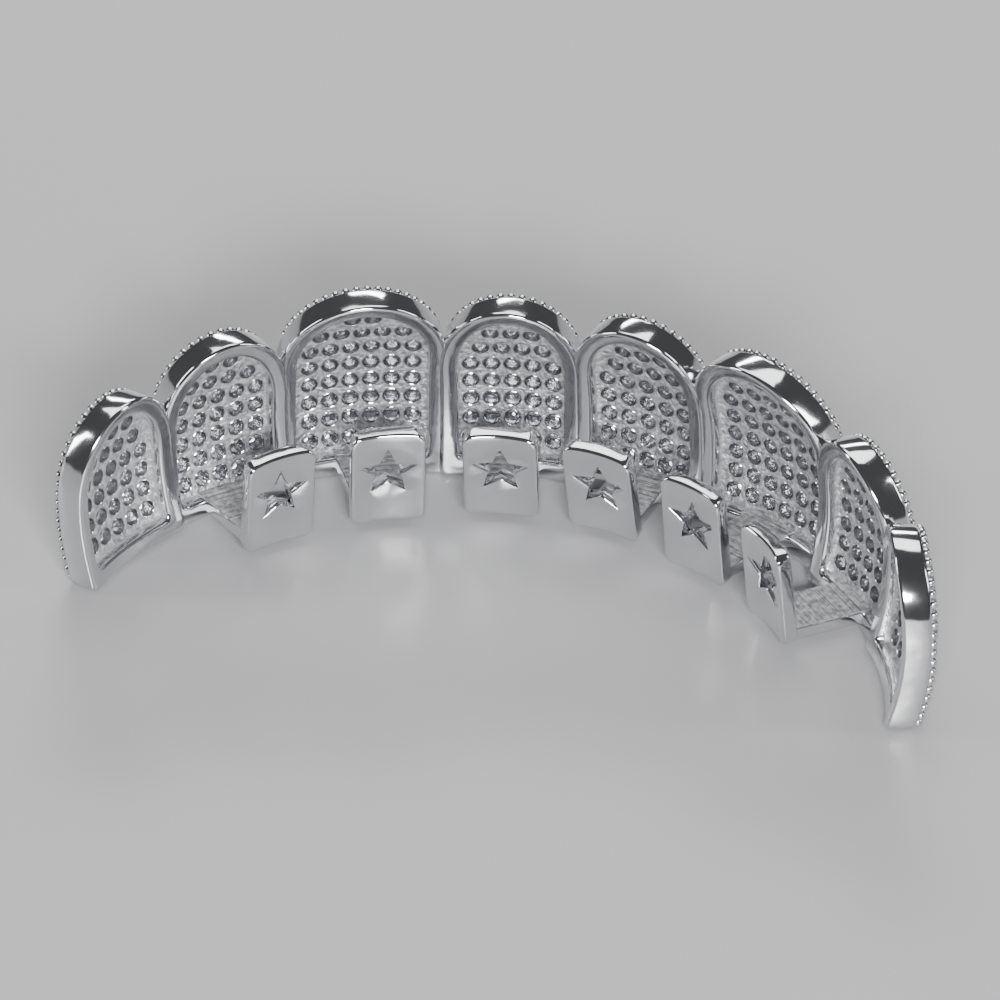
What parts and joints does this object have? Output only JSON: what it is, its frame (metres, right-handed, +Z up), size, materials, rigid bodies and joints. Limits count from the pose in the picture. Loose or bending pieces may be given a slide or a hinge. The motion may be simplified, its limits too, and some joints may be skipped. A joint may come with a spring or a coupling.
{
  "type": "tooth cover with set stones",
  "caption": "Arch of fused tooth fronts set all over with small round stones, with star-pierced tongue plates carried on straps along the biting edge.",
  "frame": {"origin": "on the resting plane, below the middle of the object's box", "axes": "+Z up from the biting edge to the gum line, -Y forwards, where the middle fronts face, +X along the arch's width"},
  "size_m": [0.0472, 0.0185, 0.0119],
  "materials": {
    "bright_metal": "bright plated silver alloy, mirror polished outside, satin in the sunk panels",
    "clear_stone": "clear colourless cut stones"
  },
  "bodies": {
    "root": {"cast_body": "bright_metal", "stones_end_left": "clear_stone", "stones_end_right": "clear_stone", "stones_third_left": "clear_stone", "stones_third_right": "clear_stone", "stones_second_left": "clear_stone", "stones_second_right": "clear_stone", "stones_middle_left": "clear_stone", "stones_middle_right": "clear_stone"}
  },
  "joints": []
}
